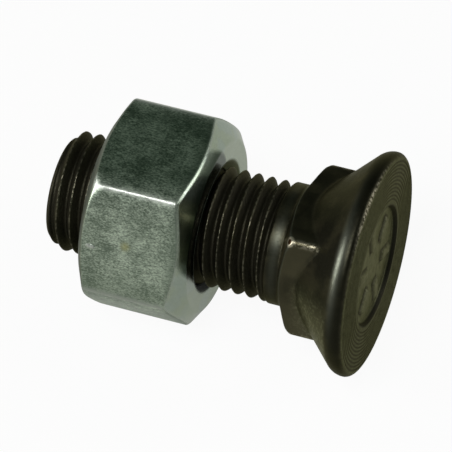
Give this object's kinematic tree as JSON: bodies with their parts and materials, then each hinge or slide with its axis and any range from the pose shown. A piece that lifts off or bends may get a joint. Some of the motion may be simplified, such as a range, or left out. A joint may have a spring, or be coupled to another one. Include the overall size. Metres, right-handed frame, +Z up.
{
  "type": "plow bolt",
  "caption": "Plow bolt with a round countersunk flat head, square neck and threaded shank, and a chamfered hex nut run part way up the thread.",
  "frame": {"origin": "on the table under the middle of the lying bolt: the centre of the bottom of its bounding box", "axes": "+Z up, +X along the bolt towards its head, with the bolt's axis 2.7 degrees head-up because the head's rim is larger than the nut it lies on; +Y sideways"},
  "size_m": [0.06, 0.041, 0.0405],
  "materials": {
    "black_steel": "oiled black forging finish, bright where the edges are rubbed",
    "zinc_plate": "mottled zinc plate, satin, brighter along the edges"
  },
  "bodies": {
    "bolt": {"plow_bolt": "black_steel"},
    "nut": {"hex_nut": "zinc_plate"}
  },
  "joints": [
    {"name": "nut_travel", "type": "slide", "parent": "bolt", "child": "nut", "axis": [-0.9988, 0, -0.048], "range_m": [-0.01, 0.0275]}
  ]
}
